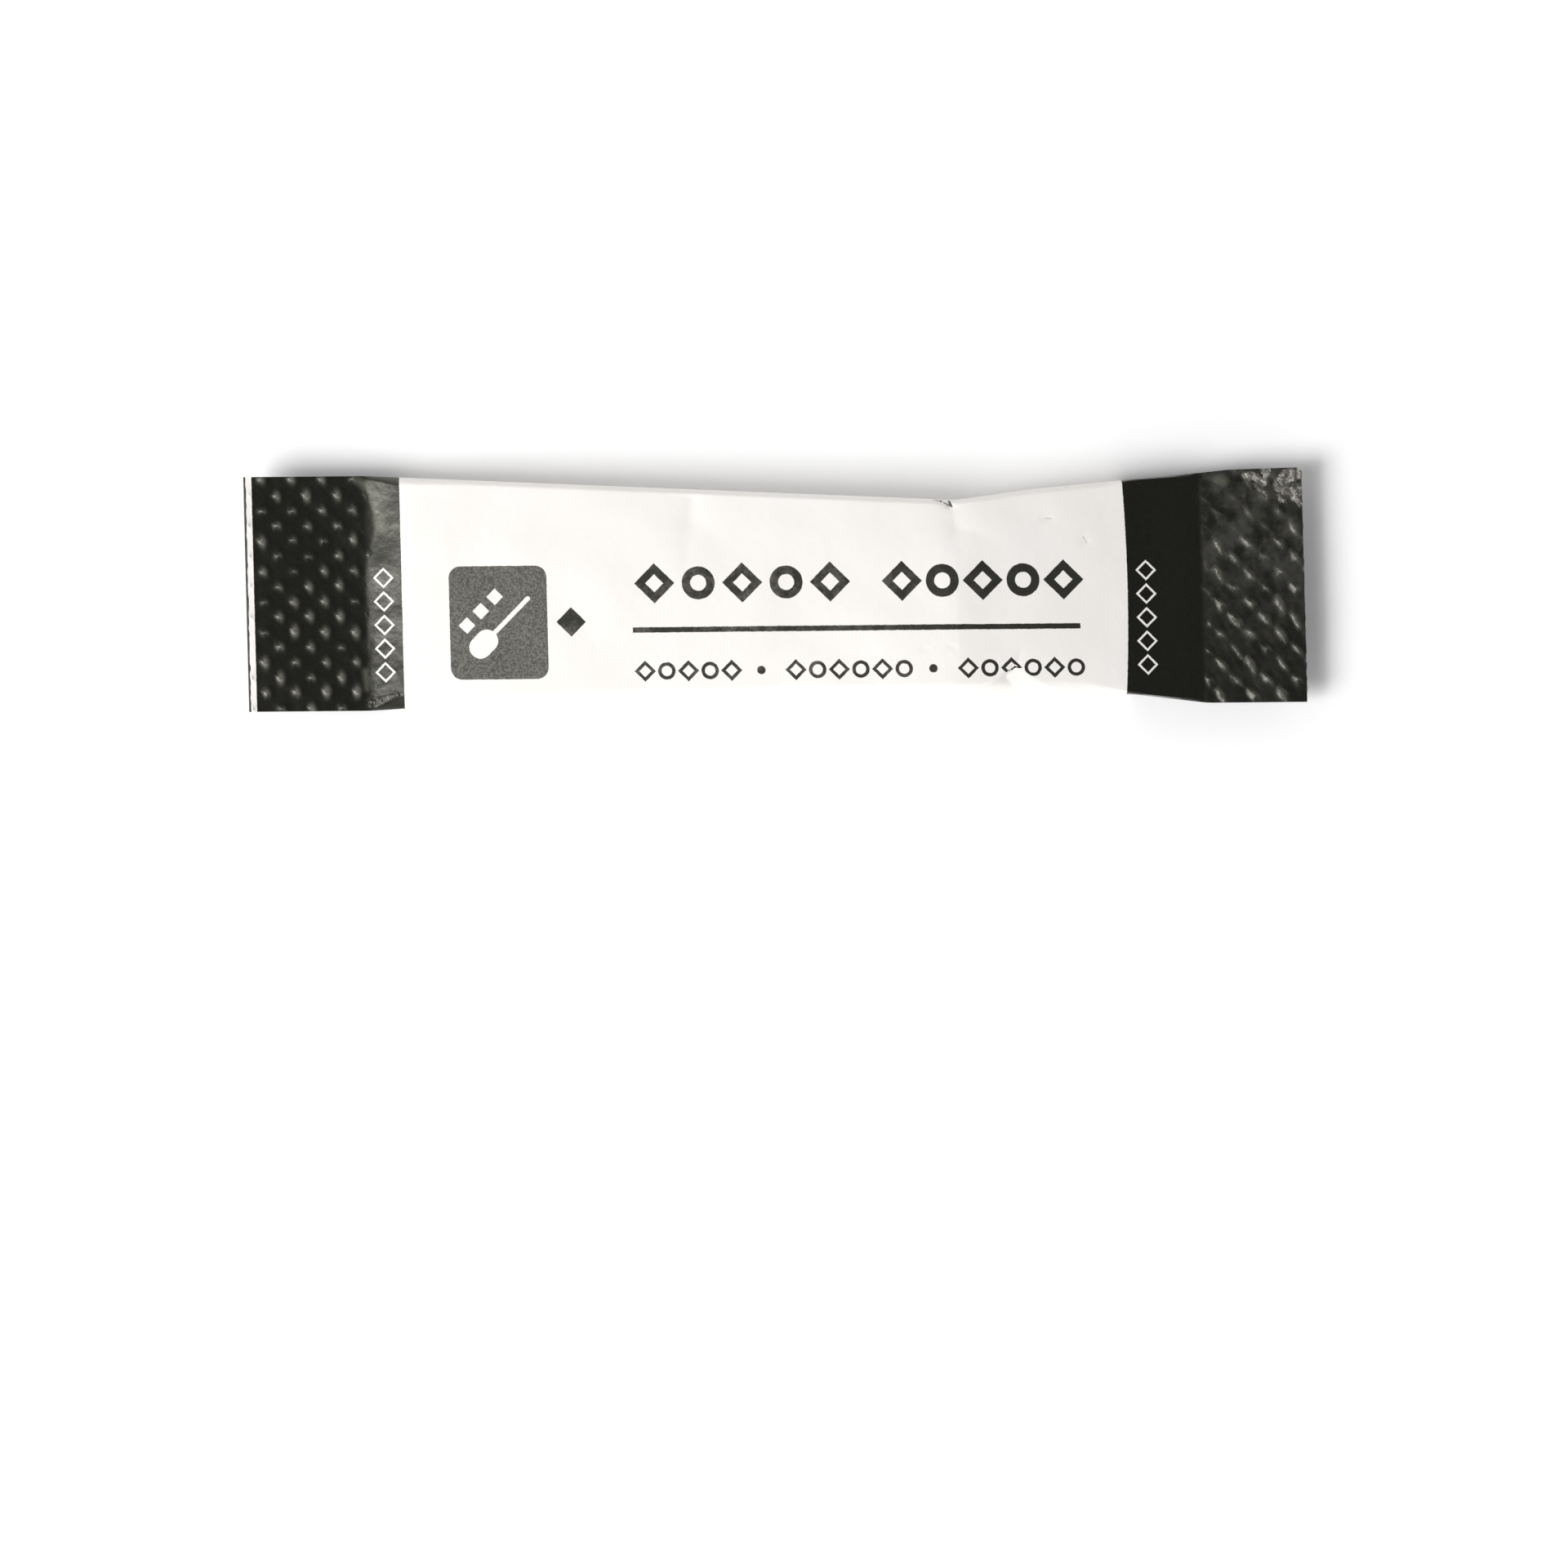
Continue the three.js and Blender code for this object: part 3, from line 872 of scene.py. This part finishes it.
# How strong each wear, dust, painted sheen, painted highlight and painted shade is, and where it sets in:
# along the stick, or across it
wear = dict(
    inkCreep=0.09,  # how far the print's edges wander
    seamFray=0.8,
    greyer=0.55,  # the paper, towards the right
    greyerAlong=(8.0, 27.0),
    thinAlong=(26.0, -6.0),  # the charcoal ink, towards the left
    # painted sheen on the strip beside the left seal:
    paintedSheen=0.24,  # the strip beside the left seal, towards its upper end
    paintedSheenAcross=(-6.0, 8.0),
    dust=(0.1, 0.4),  # at the right seal's lower and upper end
    dustAcross=(-6.0, 6.0),
    # strength of the painted highlights and shade above
    paintedLightStrokes=0.6,
    wornTremble=0.9,  # how far the worn patches and the crumples in them waver
    wornCrumple=0.5,
    # painted highlights on the worn corner's folds lie between these
    foldGlints=(0.07, 0.02),  # distances from the middle of a fold
    # painted shade in the small folds:
    nickHeights=(3.4 * mm, 4.0 * mm),  # the lines of the small folds lie above these
    crimpWander=2.4,  # of the line where the small peaks set in
)
# Heights in mm, and how a crest's share of its height follows from the scratches
relief = dict(fibres=0.008, grains=0.03, creases=0.2, scratches=0.012, crumples=0.7, crest=(1.6, 0.2))
sheen = dict(roughness=0.55, blackGloss=0.25, charcoalGloss=0.08, tint=(1, 0.99, 0.87, 1))


# Where a point is: on the object, seen from above in mm, and on the sheet along the stick and across it.
# Ink creeps a little into the paper, so the places on the sheet waver.
def readPlace(tree):
    sheet = place(tree, "ShaderNodeUVMap", uv_map="sheet")
    solid = place(tree, "ShaderNodeTexCoord", output=3)
    crept = vectorMaths("ADD", sheet, scaled(waver(sheet, 3.0, 0.6), wear["inkCreep"]))
    along, across = components(crept)[:2]
    onBack = maths("GREATER_THAN", across, backStart / 2)
    return dict(
        sheet=sheet,
        solid=solid,
        fromAbove=vectorMaths("MULTIPLY", scaled(solid, 1 / mm), (1, 1, 0)),
        along=along,
        across=across,
        inside=minus(across, product(onBack, backStart)),
        onBack=onBack,
        onFront=minus(1.0, onBack),
        onCut=maths("GREATER_THAN", across, (backStart + cutStart) / 2),
    )


# A noise on the object, or patches of it
def grain(at, name):
    scale, detail, roughness, *ends = noises[name]
    value = noise(at["solid"], scale, detail, roughness)
    return step(value, *ends) if ends else value


# A pair of colours mixed by the noise of the same name
def mottled(at, name):
    return blend(grain(at, name), *colours[name])


# The black ends, without the margin and the pale marks. The first mask is the left end alone.
def blackPrint(at):
    edge = blackEnds["edge"]
    left = step(at["along"], blackEnds["left"] + edge, blackEnds["left"] - edge)
    bow = product(at["inside"], at["inside"], blackEnds["bow"])
    pastRight = minus(at["along"], minus(blackEnds["right"], bow))
    ends = largest(left, step(pastRight, -edge, edge))
    margin = step(at["along"], blackEnds["margin"] + edge, blackEnds["margin"] - edge)
    ends = minus(ends, product(margin, at["onFront"]))
    fray = centred(noise(at["sheet"], 2.2, 3.0, 0.7), wear["seamFray"])
    seamBars = drawRows(at["along"], plus(at["across"], fray), seamRows)
    pale = largest(drawRows(at["along"], at["across"], paleRows), seamBars)
    return left, largest(minus(ends, pale), 0.0)


# The charcoal print. The spoon runs along the diagonal of the emblem.
def charcoalPrint(at):
    charcoal = drawRows(at["along"], at["across"], charcoalRows + backRows)
    du = minus(at["along"], emblem["x"])
    dv = minus(at["across"], emblem["y"])
    lengthwise = product(plus(du, dv), math.sqrt(0.5))
    sideways = product(minus(dv, du), math.sqrt(0.5))
    spoon = drawRows(lengthwise, sideways, spoonRows)
    return largest(minus(charcoal, spoon), 0.0)


# White, greyer towards the right, and on the back where it is a single ply
def paperColour(at):
    greyer = product(step(at["along"], *wear["greyerAlong"]), wear["greyer"])
    colour = blend(greyer, mottled(at, "paper"), colours["greyPaper"])
    flap = product(step(at["inside"], *seam["whiteTo"]), step(at["inside"], 0.05, -0.05))
    singlePly = product(at["onBack"], minus(1.0, flap))
    return blend(singlePly, colour, colours["singlePly"])


# The emblem is printed thin and mottled, and the other marks get thinner in places towards the left
def charcoalColour(at):
    thin = product(grain(at, "charcoal"), step(at["along"], *wear["thinAlong"]))
    marks = blend(thin, *colours["charcoal"])
    away = maths("ABSOLUTE", minus(at["along"], emblem["x"]))
    inEmblem = step(away, emblem["halfLength"] + 0.4, emblem["halfLength"] + 0.3)
    return blend(inEmblem, marks, mottled(at, "emblem"))


# The strip beside the left seal is painted greyer towards its upper end: a painted sheen for the light its
# black ink reflects. The right seal is dusty, in patches, and more so towards its upper end.
def paintedSheenAndDust(at, colour, black, leftStrip):
    upwards = product(step(at["inside"], *wear["paintedSheenAcross"]), wear["paintedSheen"])
    paintedSheen = product(leftStrip, black, upwards, at["onFront"])
    colour = blend(paintedSheen, colour, colours["paintedSheenStrip"])
    least, most = wear["dust"]
    upwards = step(at["inside"], *wear["dustAcross"])
    amount = maths("MULTIPLY_ADD", upwards, most - least, least)
    onSeal = step(at["along"], rightEnd - 0.1, rightEnd + 0.5)
    dust = product(grain(at, "dust"), amount, black, onSeal)
    return blend(dust, colour, colours["dust"])


# The worn corner: ink rubbed off in crumpled patches, with painted highlights on the crumples' folds and in
# small spots. The same colour paints a highlight along a fold beside the left seal. It also gives the
# patches and the crumples.
def wearCorner(at, colour):
    tremble = waver(at["solid"], 1500.0, 0.6)
    trembled = vectorMaths("ADD", scaled(tremble, wear["wornTremble"]), at["fromAbove"])
    trembled = vectorMaths("MULTIPLY", trembled, (1, 1, 0))
    wornAndSheen = product(drawStrokes(trembled, wornAndSheenPatches), at["onFront"])
    crumpled = vectorMaths("ADD", scaled(tremble, wear["wornCrumple"]), at["fromAbove"])
    crumples = place(crumpled.id_data, "ShaderNodeTexVoronoi", {"Vector": crumpled, "Scale": 1.0},
                     feature="DISTANCE_TO_EDGE")
    glints = product(step(crumples, *wear["foldGlints"]), grain(at, "glintFlecks"))
    glints = largest(glints, grain(at, "glintSpots"))
    wornAndSheenColour = blend(glints, mottled(at, "wornAndSheen"), colours["foldGlints"])
    return blend(wornAndSheen, colour, wornAndSheenColour), wornAndSheen, crumples


# Painted light on the front: highlights on the black strips beside the seals and on a flat of the right
# seal, and shade in two small dents. Lines of painted shade in the small folds on top of the tube, and dark
# cut ends, where ink and dirt sit between the plies and painted shade darkens the gap between them.
def addMarks(at, colour):
    paintedLight = product(drawStrokes(at["fromAbove"], paintedLightStrokes), at["onFront"], wear["paintedLightStrokes"])
    colour = blend(paintedLight, colour, colours["paintedLightStrokes"])
    onTop = step(components(at["solid"])[2], *wear["nickHeights"])
    nickShade = product(drawStrokes(at["fromAbove"], nickShadeLines), onTop)
    colour = blend(nickShade, colour, colours["nickShadeLines"])
    return blend(at["onCut"], colour, mottled(at, "cuts"))


# The crimp's peaks set in along a wandering line, and their halos are painted paler: ink rubbed off, and a
# painted sheen. It gives their height too.
def addPeaks(at, colour, black, scratches):
    wander = centred(noise(at["sheet"], 0.4), wear["crimpWander"])
    wandering = plus(at["along"], wander)
    crinkle = maths("MULTIPLY_ADD", scratches, *relief["crest"])
    leaning = minus(at["inside"], product(at["along"], crimp["weakSlope"]))
    strong = step(leaning, *reversed(crimp["weakAbove"]))
    heights = []
    for look in (leftPeaks, rightPeaks):
        lattice = {
            "Along": at["along"], "Across": at["inside"], "Pitch": crimp["pitch"], "Shift": look["shift"],
            "Start Along": look["side"] * (cutX - look["start"][0]),
            "Start Across": look["start"][1]}
        cover = step(wandering, *look["ends"])
        uneven = place(crinkle.id_data, "ShaderNodeMix", {0: look["rough"], 2: 1.0, 3: crinkle})
        strength = maths("MULTIPLY_ADD", strong, 1 - look["weakest"], look["weakest"])
        peak = useGroup(peaks, {**lattice, **look["peak"]})
        heights.append(product(peak, uneven, cover, strength, look["height"]))
        halo = step(useGroup(peaks, {**lattice, **look["halo"]}), *crimp["haloFrom"])
        rubbedAndSheen = product(halo, cover, black, look["rubbedAndSheen"])
        colour = blend(rubbedAndSheen, colour, colours["peakRubAndSheen"])
    return colour, plus(*heights)


# Height in mm: fibres and grains all over, soft creases in the strip beside the left seal, scratches in
# the black ends, crumples in the worn corner, and the crimp's peaks
def fineRelief(at, scratches, parts):
    creases = minus(grain(at, "creases"), 0.5)
    scratched = plus(parts["wornAndSheen"], parts["black"])
    return plus(
        parts["peaks"],
        product(grain(at, "fibres"), relief["fibres"]),
        product(grain(at, "grains"), relief["grains"]),
        product(creases, parts["leftStrip"], relief["creases"]),
        product(scratches, scratched, relief["scratches"]),
        product(parts["crumples"], parts["wornAndSheen"], relief["crumples"]))


def makePrintedPaper():
    material = bpy.data.materials.new("printed_paper")
    material.use_nodes = True
    tree = material.node_tree
    at = readPlace(tree)
    leftBlack, black = blackPrint(at)
    charcoal = charcoalPrint(at)
    leftStrip = product(step(at["along"], leftEnd - 0.3, leftEnd + 0.5), leftBlack)
    scratches = grain(at, "scratches")

    colour = blend(charcoal, paperColour(at), charcoalColour(at))
    colour = blend(black, colour, mottled(at, "black"))
    colour = paintedSheenAndDust(at, colour, black, leftStrip)
    colour, wornAndSheen, crumples = wearCorner(at, colour)
    colour = addMarks(at, colour)
    colour, peakHeight = addPeaks(at, colour, black, scratches)

    roughness = minus(sheen["roughness"], product(black, sheen["blackGloss"]))
    roughness = minus(roughness, product(charcoal, sheen["charcoalGloss"]))
    height = fineRelief(at, scratches, dict(
        black=black, wornAndSheen=wornAndSheen, crumples=crumples, leftStrip=leftStrip, peaks=peakHeight))
    shader = tree.nodes["Principled BSDF"]
    bump = place(tree, "ShaderNodeBump", {"Strength": 1.0, "Distance": mm, "Height": height})
    looks = {"Base Color": colour, "Roughness": roughness, "Normal": bump, "Specular Tint": sheen["tint"]}
    for key, value in looks.items():
        wire(value, shader.inputs[key])
    return material


paperStick.data.materials.append(makePrintedPaper())
print("paper and print made")

# Stage: a white floor, two soft lights from the left, paler light from around, and a camera straight above
stage = dict(floorColour=(0.96, 0.96, 0.96, 1), around=1.15, above=0.05)
lights = [
    dict(name="key", turn=207.0, height=41.0, far=0.9, size=0.5, power=7.1),
    dict(name="sheen", turn=190.0, height=60.0, far=0.9, size=0.4, power=1.5),
]
view = dict(height=1.2, frameWidth=0.1332, roll=-0.55, x=0.00057, y=-0.01649)


def makeFloor():
    mesh = bpy.data.meshes.new("floor")
    size, drop = 1.5, -0.00002
    mesh.from_pydata([(-size, -size, drop), (size, -size, drop), (size, size, drop), (-size, size, drop)],
                     [], [(0, 1, 2, 3)])
    material = bpy.data.materials.new("white_floor")
    material.use_nodes = True
    shader = material.node_tree.nodes["Principled BSDF"]
    shader.inputs["Base Color"].default_value = stage["floorColour"]
    shader.inputs["Specular IOR Level"].default_value = 0.0
    mesh.materials.append(material)
    addObject("floor", mesh)


# A light stands in the direction of its turn and height, and faces the stick
def makeLight(light):
    lamp = bpy.data.lights.new(light["name"], "AREA")
    lamp.shape = "DISK"
    lamp.size = light["size"]
    lamp.energy = light["power"]
    item = addObject(light["name"], lamp)
    turn, height, far = math.radians(light["turn"]), math.radians(light["height"]), light["far"]
    item.location = (far * math.cos(turn) * math.cos(height), far * math.sin(turn) * math.cos(height),
                     far * math.sin(height))
    item.rotation_euler = (math.pi / 2 - height, 0, turn + math.pi / 2)


# The sky is pale to the sides and dark straight above, so that black print stays black
def makeWorld():
    world = bpy.data.worlds.new("studio")
    world.use_nodes = True
    tree = world.node_tree
    height = components(place(tree, "ShaderNodeTexCoord", output=0))[2]
    strength = place(tree, "ShaderNodeMapRange", {
        "Value": height, "From Min": 0.4, "From Max": 0.8,
        "To Min": stage["around"], "To Max": stage["above"]})
    background = tree.nodes["Background"]
    background.inputs["Color"].default_value = (1, 1, 1, 1)
    wire(strength, background.inputs["Strength"])
    bpy.context.scene.world = world


def makeCamera():
    camera = bpy.data.cameras.new("camera")
    camera.lens = camera.sensor_width * view["height"] / view["frameWidth"]
    camera.clip_start, camera.clip_end = 0.01, 10
    item = addObject("camera", camera)
    item.location = (view["x"], view["y"], view["height"])
    item.rotation_euler = (0, 0, math.radians(view["roll"]))
    bpy.context.scene.camera = item


makeFloor()
for light in lights:
    makeLight(light)
makeWorld()
bpy.context.scene.view_settings.view_transform = "Standard"
makeCamera()
print("stage made")

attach(paperStick, "root")
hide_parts("sugar_stick")
